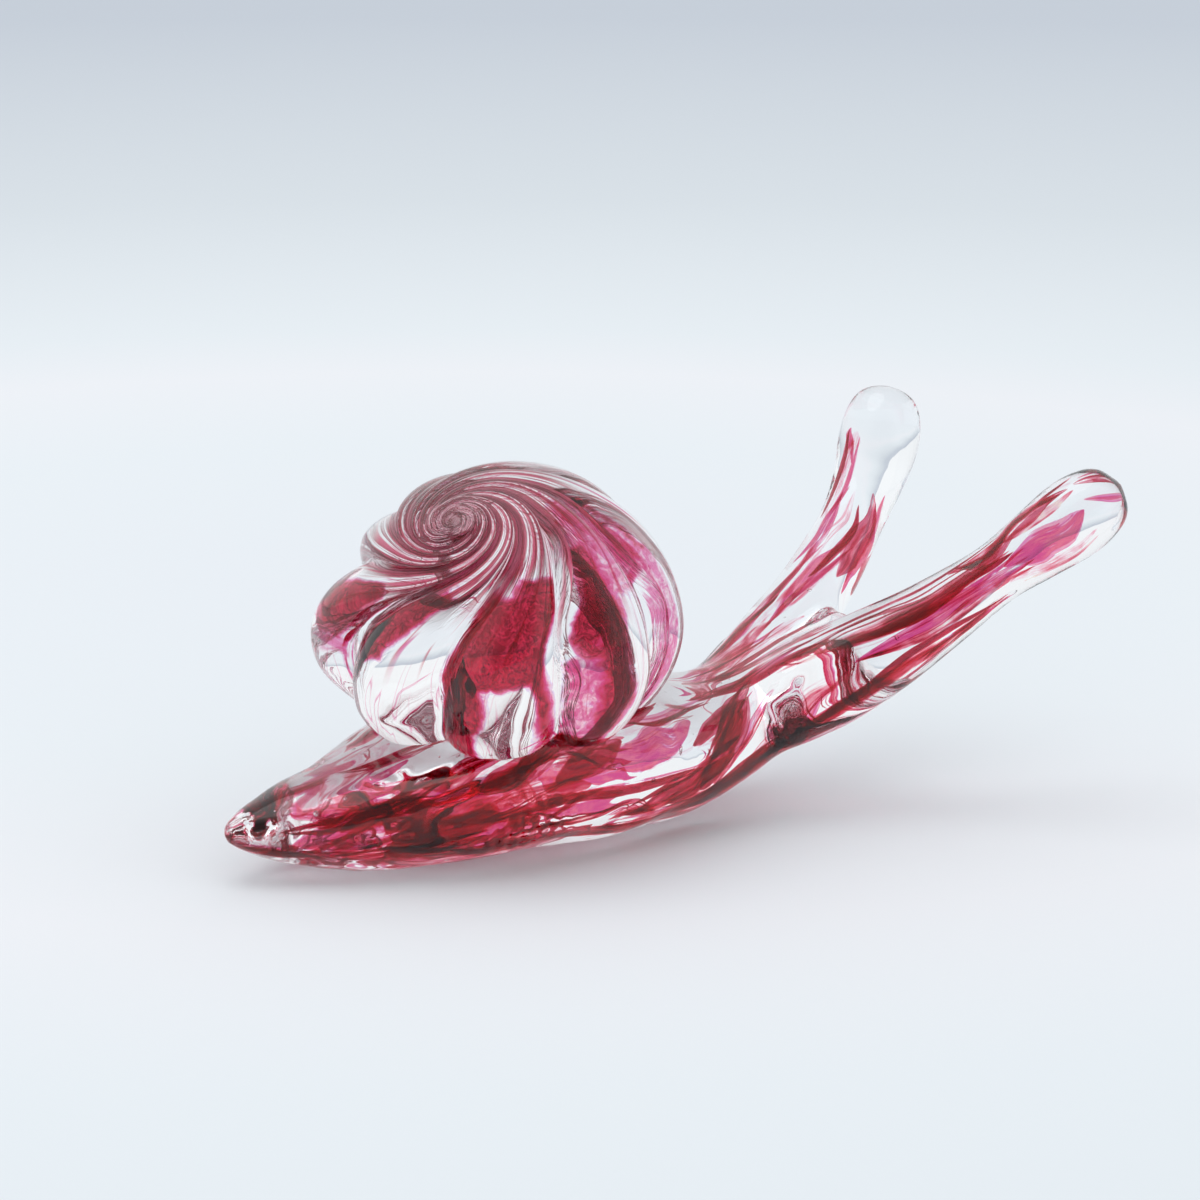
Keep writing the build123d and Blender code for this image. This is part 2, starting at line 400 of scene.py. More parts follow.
clear_tint = (0.985, 0.99, 0.995, 1)
bare_tint = (1, 1, 1, 1)
violet_tint = (0.80, 0.62, 0.90, 1)
pink_tint = (0.95, 0.62, 0.72, 1)
amber_tint = (0.96, 0.74, 0.60, 1)
rose_tint = (0.86, 0.20, 0.29, 1)
magenta_tint = (0.72, 0.07, 0.27, 1)
ruby_tint = (0.60, 0.022, 0.065, 1)
maroon_tint = (0.32, 0.006, 0.022, 1)
line_tint = (0.13, 0.004, 0.014, 1)


def glass_shader(tree, tint, bump=None, refraction=1.5):
    """Clear glass of that tint, to its output."""
    inputs = {"Base Color": tint, "Transmission Weight": 1.0, "Roughness": 0.0, "IOR": refraction}
    if bump is not None:
        inputs["Normal"] = bump
    shader = add_node(tree, "ShaderNodeBsdfPrincipled", inputs)
    output = add_node(tree, "ShaderNodeOutputMaterial")
    tree.links.new(shader.outputs[0], output.inputs["Surface"])
    return output


def body_glass_material():
    """The foot's clear glass, faintly rippled where it was tooled."""
    material, tree = new_material("body_clear_glass")
    place = add_node(tree, "ShaderNodeTexCoord").outputs["Object"]
    ripple = add_node(tree, "ShaderNodeTexNoise", {"Vector": place, "Scale": 90.0, "Detail": 1.0})
    bump = add_node(tree, "ShaderNodeBump", {"Height": ripple.outputs[0], "Strength": 0.25, "Distance": 0.001})
    glass_shader(tree, clear_tint, bump.outputs[0])
    return material


def rib_threads(tree, wobble, fineness, run):
    """Noise drawn out along the twisted ribs: its value at each point of the shell."""
    unwound = add_node(tree, "ShaderNodeAttribute", attribute_name="unwound").outputs["Vector"]
    parts = add_node(tree, "ShaderNodeSeparateXYZ", {0: unwound})
    turn = sums(tree, "ARCTAN2", parts.outputs[1], parts.outputs[0])
    bend = add_node(tree, "ShaderNodeTexNoise", {"Vector": unwound, "Scale": 1.7, "Detail": 1.0}).outputs[0]
    turn = sums(tree, "MULTIPLY_ADD", sums(tree, "SUBTRACT", bend, 0.5), wobble, turn)
    spun = add_node(tree, "ShaderNodeCombineXYZ", {
        "X": sums(tree, "MULTIPLY", sums(tree, "COSINE", turn), fineness),
        "Y": sums(tree, "MULTIPLY", sums(tree, "SINE", turn), fineness),
        "Z": sums(tree, "MULTIPLY", parts.outputs[2], run),
    }).outputs[0]
    threads = add_node(tree, "ShaderNodeTexNoise", {"Vector": spun, "Scale": 1.0, "Detail": 2.0}).outputs[0]
    return threads, turn, parts.outputs[2]


def colour_steps(tree, value, stops):
    """A smooth run of colours over a value, as places and colours."""
    node = add_node(tree, "ShaderNodeValToRGB", {0: value})
    ramp = node.color_ramp.elements
    while len(ramp) < len(stops):
        ramp.new(0.5)
    for element, (place, colour) in zip(ramp, stops):
        element.position, element.color = place, colour
    return node.outputs[0]


def rib_share(tree, turn, shift=0.0):
    """How far round the shell in the ribs' own count, from 0 to 1."""
    return sums(tree, "FRACT", sums(tree, "MULTIPLY_ADD", turn, 1 / (2 * math.pi), 1.0 + shift))


def densities(tree, value, stops):
    """A run of plain amounts over a value."""
    return colour_steps(tree, value, [(place, (amount, amount, amount, 1)) for place, amount in stops])


def shell_glass_material():
    """The shell's clear glass, with fine ruby threads that wind into its top."""
    material, tree = new_material("shell_clear_glass")
    threads, turn, height = rib_threads(tree, 0.3, 17.0, 0.9)
    hairs, _, _ = rib_threads(tree, 0.2, 9.0, 0.7)
    wound = colour_steps(tree, threads, (
        (0.00, bare_tint), (0.36, bare_tint), (0.38, maroon_tint), (0.41, line_tint), (0.43, bare_tint),
        (0.50, bare_tint), (0.52, ruby_tint), (0.55, line_tint), (0.565, bare_tint), (0.63, bare_tint),
        (0.65, maroon_tint), (0.67, bare_tint),
    ))
    single = colour_steps(tree, hairs, (
        (0.0, bare_tint), (0.600, bare_tint), (0.608, pink_tint), (0.616, magenta_tint), (0.624, bare_tint),
    ))
    rib_place = sums(tree, "FRACT", sums(tree, "MULTIPLY_ADD", turn, rib_count / (2 * math.pi), rib_count))
    bands = colour_steps(tree, rib_place, (
        (0.00, bare_tint), (0.06, bare_tint), (0.08, rose_tint), (0.11, maroon_tint), (0.15, ruby_tint),
        (0.17, bare_tint), (0.33, bare_tint), (0.345, rose_tint), (0.36, bare_tint), (0.52, bare_tint),
        (0.535, ruby_tint), (0.565, magenta_tint), (0.58, bare_tint), (0.80, bare_tint), (0.82, ruby_tint),
        (0.87, maroon_tint), (0.90, rose_tint), (0.91, bare_tint),
    ))
    some = step_up(tree, hairs, 0.43, 0.47)
    bands = blend_colours(tree, some, bare_tint, bands)
    tint = blend_colours(tree, step_up(tree, height, 0.0, 0.35), single, bands)
    arms = colour_steps(tree, rib_place, (
        (0.00, maroon_tint), (0.06, line_tint), (0.20, maroon_tint), (0.22, bare_tint), (0.31, bare_tint),
        (0.33, ruby_tint), (0.43, maroon_tint), (0.45, bare_tint), (0.50, bare_tint), (0.52, maroon_tint),
        (0.66, line_tint), (0.69, bare_tint), (0.77, bare_tint), (0.79, ruby_tint), (0.88, maroon_tint),
        (0.90, bare_tint), (0.97, bare_tint), (1.00, maroon_tint),
    ))
    arms = blend_colours(tree, 1.0, arms, wound, "MULTIPLY")
    tint = blend_colours(tree, step_up(tree, height, 0.42, 0.68), tint, arms)
    across = sums(tree, "FRACT", sums(tree, "MULTIPLY_ADD", turn, rib_count / (2 * math.pi), rib_count))
    wall = sums(tree, "ABSOLUTE", sums(tree, "SUBTRACT", across, 0.07))
    wall = step_up(tree, wall, 0.09, 0.04)
    fine, _, _ = rib_threads(tree, 0.5, 46.0, 3.0)
    ripple = add_node(tree, "ShaderNodeTexNoise", {
        "Vector": add_node(tree, "ShaderNodeTexCoord").outputs["Object"], "Scale": 110.0, "Detail": 1.0,
    }).outputs[0]
    waves = sums(tree, "MULTIPLY_ADD", sums(tree, "MULTIPLY", fine, wall), 0.5, sums(tree, "MULTIPLY", ripple, 0.2))
    bump = add_node(tree, "ShaderNodeBump", {"Height": waves, "Strength": 0.8, "Distance": 0.0011})
    glass_shader(tree, tint, bump.outputs[0])
    return material


# The coat's density round the shell, from bare to full: near its top, on the shoulder and below.
# Each rib takes an eighth of the way. The eighth rib faces the camera.
coat_shoulder = (
    (0.000, 0.05), (0.034, 0.00), (0.042, 0.85), (0.058, 0.70), (0.066, 0.34), (0.185, 0.38), (0.195, 0.60),
    (0.205, 0.00), (0.660, 0.00), (0.672, 0.85), (0.690, 0.75), (0.700, 0.30), (0.708, 0.00), (0.745, 0.00),
    (0.752, 0.90), (0.788, 0.80), (0.798, 0.00), (0.858, 0.00), (0.874, 0.95), (0.975, 0.90), (0.990, 0.05),
)
coat_below = (
    (0.000, 0.05), (0.018, 0.28), (0.048, 0.34), (0.060, 0.70), (0.072, 0.55), (0.080, 0.00), (0.105, 0.00),
    (0.112, 0.45), (0.130, 0.50), (0.138, 0.00), (0.160, 0.00), (0.168, 0.36), (0.195, 0.34), (0.203, 0.00),
    (0.650, 0.00), (0.656, 0.50), (0.664, 0.00), (0.744, 0.00),
    (0.752, 0.75), (0.760, 0.00), (0.868, 0.00), (0.880, 0.95), (0.915, 0.85), (0.925, 0.10), (0.958, 0.05),
    (0.968, 0.70), (0.992, 0.05),
)


def ruby_coat_material():
    """The ruby coat under the shell's skin, dense on some ribs and bare on others."""
    material, tree = new_material("ruby_coat")
    place = add_node(tree, "ShaderNodeTexCoord").outputs["Object"]
    threads, turn, height = rib_threads(tree, 0.25, 9.0, 1.2)
    lines, _, _ = rib_threads(tree, 0.25, 24.0, 1.0)
    cloud = add_node(tree, "ShaderNodeTexNoise", {"Vector": place, "Scale": 85.0, "Detail": 3.0}).outputs[0]
    drift = sums(tree, "SUBTRACT", cloud, 0.5)
    share = rib_share(tree, sums(tree, "MULTIPLY_ADD", drift, 0.22, turn))
    level = sums(tree, "MULTIPLY_ADD", drift, 0.7, height)
    shoulder = densities(tree, share, coat_shoulder)
    below = densities(tree, share, coat_below)
    top = densities(tree, lines, (
        (0.0, 0.0), (0.40, 0.0), (0.42, 0.7), (0.45, 0.0), (0.59, 0.0), (0.61, 0.8), (0.65, 0.0),
    ))
    amount = blend_colours(tree, step_up(tree, level, 0.02, 0.14), below, shoulder)
    amount = blend_colours(tree, step_up(tree, level, 0.50, 0.68), amount, top)
    flaws = add_node(tree, "ShaderNodeTexNoise", {
        "Vector": place, "Scale": 330.0, "Detail": 5.0, "Roughness": 0.65, "Distortion": 1.2,
    }).outputs[0]
    grain = sums(tree, "MULTIPLY_ADD", sums(tree, "SUBTRACT", threads, 0.5), 1.1, 1.0)
    grain = sums(tree, "MULTIPLY_ADD", sums(tree, "SUBTRACT", flaws, 0.5), 2.2, grain)
    amount = sums(tree, "MULTIPLY", amount, grain)
    tint = colour_steps(tree, amount, (
        (0.00, bare_tint), (0.14, bare_tint), (0.17, violet_tint), (0.24, pink_tint), (0.36, magenta_tint),
        (0.55, ruby_tint), (0.70, maroon_tint), (0.76, line_tint), (0.84, ruby_tint), (0.95, ruby_tint),
        (1.00, maroon_tint),
    ))
    glass_shader(tree, tint, refraction=1.0)
    return material


def ruby_material(name, stops):
    """Ruby glass inside the clear: streaked the way it was drawn, and fading out at its margins."""
    material, tree = new_material(name)
    drawn = add_node(tree, "ShaderNodeAttribute", attribute_name="drawn").outputs["Vector"]
    parts = add_node(tree, "ShaderNodeSeparateXYZ", {0: drawn})
    strands = add_node(tree, "ShaderNodeCombineXYZ", {
        "X": sums(tree, "MULTIPLY", parts.outputs[0], 0.05),
        "Y": sums(tree, "MULTIPLY", parts.outputs[1], 0.75),
    }).outputs[0]
    grain = add_node(tree, "ShaderNodeTexNoise", {
        "Vector": strands, "Scale": 1.0, "Detail": 4.0, "Roughness": 0.62, "Distortion": 0.6,
    }).outputs[0]
    place = add_node(tree, "ShaderNodeTexCoord").outputs["Object"]
    cloud = add_node(tree, "ShaderNodeTexNoise", {"Vector": place, "Scale": 150.0, "Detail": 3.0}).outputs[0]
    amount = sums(tree, "MULTIPLY_ADD", sums(tree, "SUBTRACT", cloud, 0.5), 0.5, grain)
    margin = step_up(tree, parts.outputs[2], 0.30, 0.0)
    amount = sums(tree, "MULTIPLY_ADD", margin, -0.3, amount)
    glass_shader(tree, colour_steps(tree, amount, stops), refraction=1.0)
    return material


def ruby_finishes():
    """The four depths of ruby: streak, dense chip, pink film and magenta film."""
    return [
        ruby_material("ruby_streak", (
            (0.33, bare_tint), (0.37, amber_tint), (0.40, pink_tint), (0.46, rose_tint), (0.55, ruby_tint),
            (0.66, maroon_tint),
        )),
        ruby_material("ruby_dense", (
            (0.27, bare_tint), (0.31, rose_tint), (0.40, ruby_tint), (0.54, maroon_tint), (0.58, ruby_tint),
            (0.68, maroon_tint),
        )),
        ruby_material("ruby_pink_film", (
            (0.40, bare_tint), (0.44, pink_tint), (0.52, bare_tint), (0.56, pink_tint), (0.62, rose_tint),
        )),
        ruby_material("ruby_magenta_film", (
            (0.34, bare_tint), (0.355, violet_tint), (0.38, magenta_tint), (0.50, rose_tint), (0.55, magenta_tint),
        )),
    ]


def seed_material():
    """Air inside a seed bubble, as the glass round it bends light into it."""
    material, tree = new_material("air_seed")
    glass_shader(tree, bare_tint, refraction=1 / 1.5)
    return material


def weld_material():
    """Where shell and foot are fused there is no surface, so this face doesn't show."""
    material, tree = new_material("fused_joint")
    shader = add_node(tree, "ShaderNodeBsdfPrincipled", {"Base Color": (1, 1, 1, 1), "Alpha": 0.0})
    output = add_node(tree, "ShaderNodeOutputMaterial")
    tree.links.new(shader.outputs[0], output.inputs["Surface"])
    return material


def boolean(piece, other, operation):
    apply_modifier(piece, "BOOLEAN", object=other, operation=operation, solver="EXACT", material_mode="TRANSFER")


def keep_faces(piece, material_index):
    """The piece's mesh as a bmesh, with only the faces of that material."""
    mesh = bmesh.new()
    mesh.from_mesh(piece.data)
    others = [face for face in mesh.faces if face.material_index != material_index]
    bmesh.ops.delete(mesh, geom=others, context="FACES")
    return mesh


def sharpen_seam(piece):
    """Keeps the shading of clear and fused faces apart where they meet."""
    mesh = bmesh.new()
    mesh.from_mesh(piece.data)
    for edge in mesh.edges:
        if len({face.material_index for face in edge.link_faces}) > 1:
            edge.smooth = False
    mesh.to_mesh(piece.data)
    mesh.free()


def duplicate(piece, name):
    twin = piece.copy()
    twin.data = piece.data.copy()
    twin.name = name
    bpy.context.scene.collection.objects.link(twin)
    return twin


def wisp(mesh, inside, points, width, thickness, roll, finish, seed, segments=20, rings=36):
    """One streak of ruby glass: a petal drawn out along a smooth line, kept inside the clear glass."""
    drawn = mesh.verts.layers.float_vector.get("drawn") or mesh.verts.layers.float_vector.new("drawn")
    rows = path_rows(points)
    length = sum(math.dist(here, there) for here, there in zip(points, points[1:]))
    turn_by = math.radians(roll)
    made = add_ball(mesh, segments, rings)
    ways = {}
    for vertex in made:
        down, turn = ball_place(vertex)
        step = round(down, 4)
        if step not in ways:
            here, heading = along_path(rows, down)
            level = heading.cross(Vector((0, 0, 1))).normalized()
            upright = level.cross(heading)
            broad = level * math.cos(turn_by) + upright * math.sin(turn_by)
            ways[step] = here, broad, heading.cross(broad)
        here, broad, deep = ways[step]
        girth = math.sin(math.pi * down) ** 0.7
        across = math.cos(turn) * width / 2
        spot = here + (broad * across + deep * (math.sin(turn) * thickness / 2)) * girth
        curl = noise.noise_vector(spot / 8 + Vector((seed * 3.7, 0, 0)))
        spot = (spot + curl * min(width * 0.22, petal_curl)) * MM
        nearest, normal, _, _ = inside.find_nearest(spot)
        depth = (nearest - spot).dot(normal)
        if depth < skin_depth:
            spot -= normal * (skin_depth - depth)
        vertex[drawn] = Vector((down * length + seed * 50, across * girth, 1 - abs(math.cos(turn))))
        vertex.co = spot
    for face in {face for vertex in made for face in vertex.link_faces}:
        face.material_index = finish


def add_streaks(name, materials, inside, node, petals):
    """One node's ruby: its petals, and thin strands drawn out beside each one."""
    mesh = bmesh.new()
    draw = random.Random(name)
    for number, (points, width, thickness, roll, finish) in enumerate(petals):
        wisp(mesh, inside, points, width, thickness, roll, finish, number)
        for strand in range(strand_count):
            aside = [draw.uniform(-0.5, 0.5) * width for _ in range(3)]
            beside = [tuple(value + shift for value, shift in zip(point, aside)) for point in points]
            beside = [tuple(value + draw.uniform(-0.8, 0.8) for value in point) for point in beside]
            thin = draw.uniform(0.5, 1.3)
            kind = draw.choice((streak, dense, pink, magenta))
            broad = thin * draw.uniform(1.2, 3.0)
            wisp(mesh, inside, beside, broad, thin, draw.uniform(0, 180), kind, number + strand * 9, 8, 24)
    face_outwards(mesh)
    return make_piece(mesh, name, materials, "ruby_glass", [node])


# Streaks: the points each passes through, its width, thickness and roll, and its finish
streak, dense, pink, magenta = range(4)
petal_curl = 1.8
skin_depth = 0.35 * MM
strand_count = 3
seed_count = 60
seed_radii = (0.18, 0.5)
tail_petals = [
    ([(-63.5, -1, 8.5), (-60, -4, 6.5), (-55, -7, 5), (-49, -10, 4)], 4.0, 1.2, 40, dense),
    ([(-52, -8, 9), (-44, -12, 11), (-36, -15, 14), (-27, -18, 17)], 13.0, 2.0, 62, pink),
    ([(-36, -17, 8), (-28, -20, 10), (-20, -22, 12), (-11, -24, 15)], 8.0, 1.4, 65, streak),
    ([(-54, -7, 9), (-46, -11, 11), (-38, -14, 14), (-28, -17, 18)], 9.0, 2.0, 60, magenta),
    ([(-50, -9, 6), (-42, -13, 8), (-33, -17, 10), (-24, -20, 13)], 7.0, 1.4, 70, pink),
    ([(-60, -1, 14), (-54, -2, 16), (-48, -3, 18), (-42, -3, 20)], 2.6, 1.0, -10, magenta),
    ([(-58, 3, 12), (-48, 7, 13), (-38, 11, 14), (-26, 15, 16)], 6.0, 1.2, -50, pink),
    ([(-50, 4, 5), (-38, 9, 4), (-26, 13, 5), (-12, 17, 6)], 7.0, 1.6, -20, pink),
    ([(-44, -12, 12), (-37, -15, 15), (-30, -18, 18), (-22, -19, 21)], 6.0, 1.6, 60, dense),
    ([(-46, -12, 4), (-36, -17, 5), (-26, -20, 7), (-16, -23, 9)], 4.0, 1.2, 60, dense),
    ([(-40, -4, 21), (-34, -7, 22), (-28, -9, 24), (-20, -11, 26)], 6.0, 1.4, 30, streak),
]
right_foot_petals = [
    ([(-28, -18, 19), (-22, -19, 21), (-16, -20, 23), (-9, -21, 25)], 7.0, 3.0, 60, dense),
    ([(-16, -21, 19), (-9, -22, 21), (-3, -22, 24), (4, -22, 27)], 8.0, 3.0, 70, dense),
    ([(-4, -22, 27), (1, -22, 28), (6, -22, 27), (12, -22, 25)], 9.0, 3.4, 75, dense),
    ([(0, -23, 20), (5, -24, 22), (10, -23, 23), (16, -22, 24)], 8.0, 3.0, 60, dense),
    ([(-10, -21, 24), (-4, -21, 26), (3, -21, 29), (10, -20, 30)], 7.0, 2.4, 60, streak),
    ([(8, -22, 28), (14, -21, 28), (21, -19, 28), (28, -16, 28)], 5.0, 2.0, 60, dense),
    ([(-30, -17, 12), (-18, -22, 15), (-6, -25, 18), (6, -25, 20)], 8.0, 1.8, 75, pink),
    ([(-24, -21, 7), (-14, -24, 10), (-3, -26, 13), (8, -26, 16)], 6.0, 1.4, 70, pink),
    ([(-24, -21, 12), (-1, -26, 15.6), (27, -20.5, 15.4), (43, -15.5, 15.2)], 2.8, 1.4, 80, dense),
    ([(-30, -18, 15), (-22, -21, 17), (-14, -22, 20), (-5, -23, 22)], 8.0, 2.0, 65, magenta),
    ([(-14, -24, 12), (-7, -25, 14), (0, -25, 17), (8, -25, 19)], 7.0, 1.8, 75, streak),
    ([(6, -22, 3), (20, -19.5, 3), (34, -15.5, 4), (50, -12, 7)], 6.0, 2.0, 75, dense),
    ([(28, -18, 6), (38, -15, 7), (50, -13, 11), (62, -12, 17)], 5.0, 1.6, 70, dense),
    ([(12, -22, 5), (28, -18.5, 5.5), (42, -14.5, 8), (56, -13, 13)], 8.0, 2.0, 78, streak),
    ([(40, -13, 6), (50, -13, 10), (60, -13, 15), (70, -15, 21)], 8.0, 2.0, 70, dense),
    ([(2, -18, 29), (10, -18, 30), (19, -17, 30), (28, -14, 30)], 6.0, 2.0, 50, dense),
    ([(-16, -24, 4), (-4, -26, 7), (8, -26, 9), (16, -25, 12)], 3.0, 1.0, 70, streak),
    ([(18, -21, 9), (28, -19, 11), (38, -16, 13), (50, -13, 17)], 6.0, 1.6, 75, dense),
    ([(-30, -20, 3), (-14, -23, 3), (2, -24, 4), (18, -22, 5)], 4.0, 1.4, 70, dense),
    ([(12, -22, 22), (20, -20, 22), (28, -18, 22), (37, -14, 23)], 7.0, 1.2, 80, magenta),
    ([(18, -20, 27), (26, -17, 26), (34, -14, 26), (44, -11, 28)], 4.0, 1.2, 70, magenta),
    ([(13, -24, 10), (17, -23.5, 10.5), (21, -23, 10), (26, -22, 9)], 5.0, 1.4, 80, pink),
    ([(14, -23, 8), (18, -23, 9), (22, -22, 9), (27, -21, 8)], 3.0, 1.0, 80, streak),
    ([(4, -20, 2), (22, -18, 1.6), (40, -12, 2.4), (58, -9, 7)], 5.0, 1.6, 20, streak),
    ([(-20, -20, 1.6), (-6, -21, 1.4), (8, -21, 1.4), (22, -18, 1.4)], 5.0, 1.2, 10, streak),
    ([(-20, -8, 24), (-6, -10, 27), (8, -10, 27), (22, -8, 27)], 9.0, 2.0, 10, streak),
]
left_foot_petals = [
    ([(-28, 14, 12), (-10, 19, 17), (8, 20, 20), (30, 13, 23)], 10.0, 2.0, -65, streak),
    ([(-22, 18, 8), (-4, 23, 12), (14, 23, 14), (30, 18, 14)], 7.0, 1.6, -75, magenta),
    ([(0, 12, 3), (18, 12, 3), (36, 9, 5), (52, 6, 10)], 7.0, 1.6, -20, pink),
    ([(-14, 18, 22), (-4, 20, 24), (8, 20, 25), (20, 17, 26)], 8.0, 2.4, -60, dense),
    ([(24, 17, 18), (34, 14, 19), (44, 11, 21), (54, 9, 25)], 5.0, 1.4, -60, streak),
]
neck_petals = [
    ([(40, -14, 11), (45, -14, 16), (50, -14, 21), (56, -12, 27)], 9.0, 3.0, 70, dense),
    ([(44, -10, 15), (48, -10, 19), (53, -9, 24), (60, -8, 29)], 9.0, 3.0, 60, dense),
    ([(36, -15, 20), (42, -14, 22), (48, -13, 24), (55, -11, 26)], 5.0, 2.0, 70, dense),
    ([(46, -11, 8), (56, -12, 13), (66, -13, 22), (78, -18, 33)], 4.0, 1.4, 60, streak),
    ([(46, 3, 24), (56, 3, 28), (68, 4, 32), (82, 6, 38)], 9.0, 1.4, 20, pink),
    ([(40, -10, 27), (50, -9, 29), (61, -9, 32), (74, -13, 38)], 4.0, 1.2, 50, dense),
    ([(46, 6, 14), (56, 8, 18), (66, 10, 25), (78, 13, 34)], 6.0, 1.4, -50, streak),
    ([(48, -2, 28), (58, -3, 30), (68, -6, 34), (78, -13, 40)], 2.6, 1.0, 20, dense),
    ([(46, 8, 26), (58, 9, 31), (70, 11, 37), (80, 14, 42)], 2.6, 1.0, -20, streak),
]
right_tentacle_petals = [
    ([(64, -11, 32), (80, -19, 41), (93, -27, 49), (108, -34, 60)], 2.6, 1.4, 30, dense),
    ([(98, -30, 54), (106, -34, 60), (113, -37, 66), (121, -40, 71)], 8.0, 2.2, 50, dense),
    ([(78, -20, 34), (92, -28, 43), (104, -34, 52), (113, -38, 58)], 2.4, 1.2, 60, magenta),
    ([(58, -12, 15), (74, -20, 26), (90, -28, 37), (107, -37, 50)], 3.2, 1.4, 50, streak),
    ([(120, -42, 73), (125, -44, 74), (129, -46, 73), (130, -45, 68)], 5.0, 1.8, 40, dense),
    ([(106, -36, 56), (112, -39, 60), (117, -42, 64), (121, -44, 68)], 8.5, 2.0, 60, magenta),
    ([(72, -15, 34), (88, -24, 41), (100, -31, 50), (110, -36, 58)], 4.0, 1.2, 20, pink),
]
left_tentacle_petals = [
    ([(58, 10, 26), (70, 13, 34), (84, 17, 43), (96, 21, 52)], 2.4, 1.0, 30, streak),
    ([(96, 19, 43), (102, 22, 48), (108, 25, 53), (113, 28, 60)], 5.5, 1.6, 70, streak),
    ([(90, 19, 45), (97, 21, 50), (103, 23, 55), (108, 25, 61)], 5.5, 1.4, 60, pink),
    ([(74, 11, 33), (84, 15, 39), (93, 18, 44), (101, 20, 49)], 2.2, 1.0, 60, magenta),
    ([(98, 24, 56), (104, 27, 62), (108, 29, 68), (111, 31, 73)], 4.0, 1.0, 60, pink),
    ([(109, 29, 70), (110, 29.6, 71.4), (111, 30.2, 72.8), (112, 30.8, 74.2)], 3.6, 3.0, 0, pink),
]


def add_seeds(inside):
    """Small seed bubbles caught here and there in the glass."""
    mesh = bmesh.new()
    draw = random.Random("seeds")
    low, high = Vector((-60, -26, 2)) * MM, Vector((120, 30, 75)) * MM
    caught = 0
    while caught < seed_count:
        spot = Vector([draw.uniform(least, most) for least, most in zip(low, high)])
        nearest, normal, _, _ = inside.find_nearest(spot)
        radius = draw.uniform(*seed_radii) * MM
        if (nearest - spot).dot(normal) < 2 * radius:
            continue
        place = Matrix.Translation(spot) @ Matrix.Diagonal((radius * draw.uniform(1, 1.7), radius, radius, 1))
        bmesh.ops.create_uvsphere(mesh, u_segments=12, v_segments=8, radius=1, matrix=place)
        caught += 1
    make_piece(mesh, "seed_bubbles", [seed_material()], "clear_glass")


def build_snail():
    weld = weld_material()
    shell_clear = shell_glass_material()
    body_clear = body_glass_material()

    body = melt_body(body_clear)
    inside = BVHTree.FromPolygons(
        [vertex.co.copy() for vertex in body.data.vertices],
        [tuple(polygon.vertices) for polygon in body.data.polygons],
    )
    mesh = bmesh.new()
    shell_surface(mesh, 1, 128, 108)
    face_outwards(mesh)
    shell = make_piece(mesh, "shell_glass", [shell_clear], None)
    apply_modifier(shell, "SUBSURF", levels=1, render_levels=1)

    # The shell keeps its whole outside. Below the joint with the foot its faces are fused ones.
    above = duplicate(shell, "above")
    below = duplicate(shell, "below")
    boolean(above, body, "DIFFERENCE")
    boolean(below, body, "INTERSECT")
    cutter = duplicate(shell, "cutter")
    cutter.data.materials.clear()
    cutter.data.materials.append(weld)
    boolean(body, cutter, "DIFFERENCE")
    whole = keep_faces(above, 0)
    lower = keep_faces(below, 0)
    for face in lower.faces:
        face.material_index = 1
    spare = bpy.data.meshes.new("lower")
    lower.to_mesh(spare)
    lower.free()
    whole.from_mesh(spare)
    bmesh.ops.remove_doubles(whole, verts=whole.verts, dist=0.002 * MM)
    whole.to_mesh(shell.data)
    whole.free()
    sharpen_seam(body)
    shell.data.materials.clear()
    shell.data.materials.append(shell_clear)
    shell.data.materials.append(weld)
    for extra in (above, below, cutter):
        bpy.data.objects.remove(extra)
    for piece, nodes in (
        (body, ("foot_casing", "right_tentacle", "left_tentacle")),
        (shell, ("shell_casing", "shell_core")),
    ):
        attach(piece, "root")
        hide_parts(*nodes)

    mesh = bmesh.new()
    shell_surface(mesh, casing_share, 96, 72)
    inner = shell_surface(mesh, core_share, 96, 72)
    face_outwards(mesh)
    inner_faces = {face for vertex in inner for face in vertex.link_faces}
    bmesh.ops.reverse_faces(mesh, faces=list(inner_faces))
    make_piece(mesh, "shell_ruby", [ruby_coat_material()], "ruby_glass", ["shell_ruby_coat"])

    add_seeds(inside)
    ruby = ruby_finishes()
    add_streaks("tail_ruby", ruby, inside, "tail_streak", tail_petals)
    add_streaks("right_foot_ruby", ruby, inside, "right_foot_streak", right_foot_petals)
    add_streaks("left_foot_ruby", ruby, inside, "left_foot_streak", left_foot_petals)
    add_streaks("neck_ruby", ruby, inside, "neck_streak", neck_petals)
    add_streaks("right_tentacle_ruby", ruby, inside, "right_tentacle_streak", right_tentacle_petals)
    add_streaks("left_tentacle_ruby", ruby, inside, "left_tentacle_streak", left_tentacle_petals)


def add_camera():
    """The camera at the photograph's angle."""
    azimuth, elevation = math.radians(camera_azimuth), math.radians(camera_elevation)
    back = Vector((math.sin(azimuth), -math.cos(azimuth), math.tan(elevation))).normalized()
    data = bpy.data.cameras.new("camera")
    data.sensor_width = 36
    data.lens = data.sensor_width / 2 / math.tan(math.radians(camera_view / 2))
    camera = bpy.data.objects.new("camera", data)
    bpy.context.scene.collection.objects.link(camera)
    camera.location = camera_target + back * camera_distance
    camera.rotation_euler = (-back).to_track_quat("-Z", "Y").to_euler()
    bpy.context.scene.camera = camera


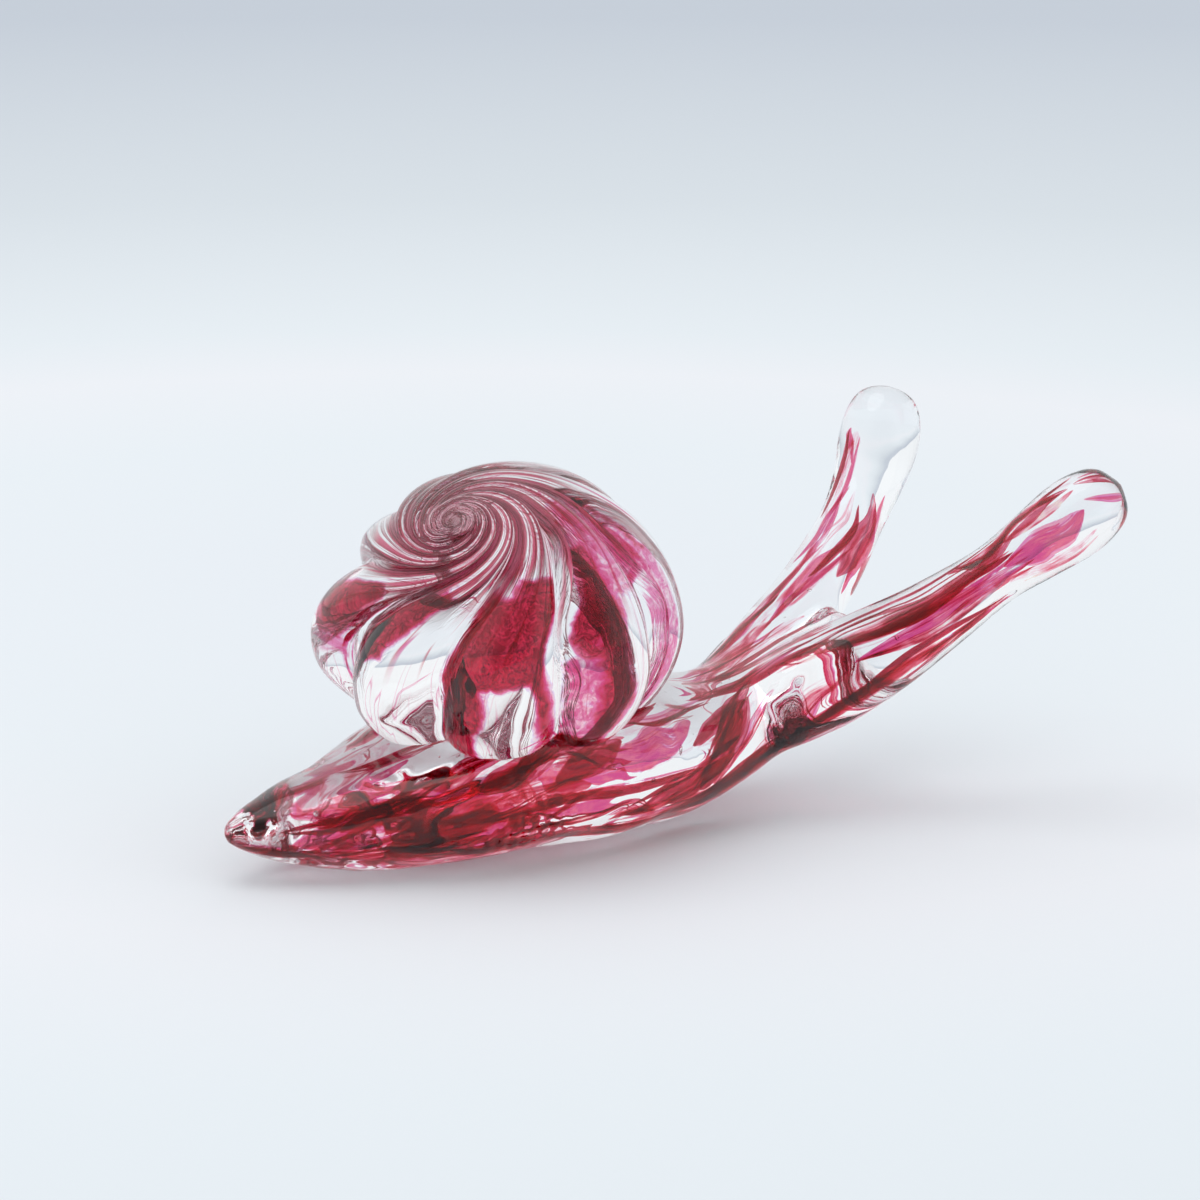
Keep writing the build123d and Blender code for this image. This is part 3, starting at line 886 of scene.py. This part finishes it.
def add_floor():
    """A pale table that runs back out of sight, with painted light: lighter round the snail and a little greyer far
    off.
    """
    mesh = bmesh.new()
    bmesh.ops.create_grid(mesh, x_segments=1, y_segments=1, size=9)
    bmesh.ops.translate(mesh, verts=mesh.verts, vec=(0, 0, -0.05 * MM))
    material, tree = new_material("table")
    place = add_node(tree, "ShaderNodeTexCoord").outputs["Object"]
    far = add_node(tree, "ShaderNodeVectorMath", {0: place, 1: painted_light_centre}, operation="DISTANCE").outputs["Value"]
    # Painted light and shade: the table's colour grows lighter near the painted light centre and greyer with distance
    tint = colour_steps(tree, sums(tree, "DIVIDE", far, 2.0), (
        (0.0, (0.775, 0.80, 0.835, 1)), (0.10, (0.785, 0.82, 0.848, 1)), (0.165, (0.822, 0.832, 0.859, 1)),
        (0.212, (0.775, 0.812, 0.84, 1)), (0.397, (0.693, 0.733, 0.768, 1)), (0.875, (0.60, 0.64, 0.70, 1)),
    ))
    shader = add_node(tree, "ShaderNodeBsdfDiffuse", {"Color": tint})
    output = add_node(tree, "ShaderNodeOutputMaterial")
    tree.links.new(shader.outputs[0], output.inputs["Surface"])
    floor = make_piece(mesh, "table", [material], None)


def add_area_lamp(name, place, aim, size, power):
    data = bpy.data.lights.new(name, "AREA")
    data.shape = "DISK"
    data.size = size
    data.energy = power
    lamp = bpy.data.objects.new(name, data)
    bpy.context.scene.collection.objects.link(lamp)
    lamp.location = place
    lamp.rotation_euler = (Vector(aim) - Vector(place)).to_track_quat("-Z", "Y").to_euler()


def add_light():
    """A white tent all round, with the room's darker side behind the camera."""
    world = bpy.data.worlds.new("tent")
    bpy.context.scene.world = world
    world.use_nodes = True
    tree = world.node_tree
    tree.nodes.clear()
    heading = add_node(tree, "ShaderNodeTexCoord").outputs["Generated"]
    azimuth, elevation = math.radians(camera_azimuth), math.radians(camera_elevation)
    back = Vector((math.sin(azimuth), -math.cos(azimuth), math.tan(elevation))).normalized()
    facing = add_node(tree, "ShaderNodeVectorMath", {0: heading, 1: back}, operation="DOT_PRODUCT").outputs["Value"]
    room = step_up(tree, facing, 0.55, 0.92)
    paths = add_node(tree, "ShaderNodeLightPath")
    bent = sums(tree, "MAXIMUM", paths.outputs["Is Glossy Ray"], paths.outputs["Is Transmission Ray"])
    room = sums(tree, "MULTIPLY", room, bent)
    tent = blend_colours(tree, room, (0.93, 0.955, 0.975, 1), (0.34, 0.34, 0.36, 1))
    background = add_node(tree, "ShaderNodeBackground", {"Color": tent, "Strength": 1.0})
    output = add_node(tree, "ShaderNodeOutputWorld")
    tree.links.new(background.outputs[0], output.inputs["Surface"])
    add_area_lamp("top_lamp", (-0.3, 0.2, 1.6), (0, 0, 0), 1.2, 4.0)


build_snail()
add_camera()
add_floor()
add_light()

bpy.context.scene.view_settings.view_transform = "Standard"
cycles = bpy.context.scene.cycles
# Light trapped in the clear glass is reflected many times before it leaves
cycles.max_bounces = 96
cycles.transmission_bounces = 96
cycles.glossy_bounces = 96
cycles.transparent_max_bounces = 32
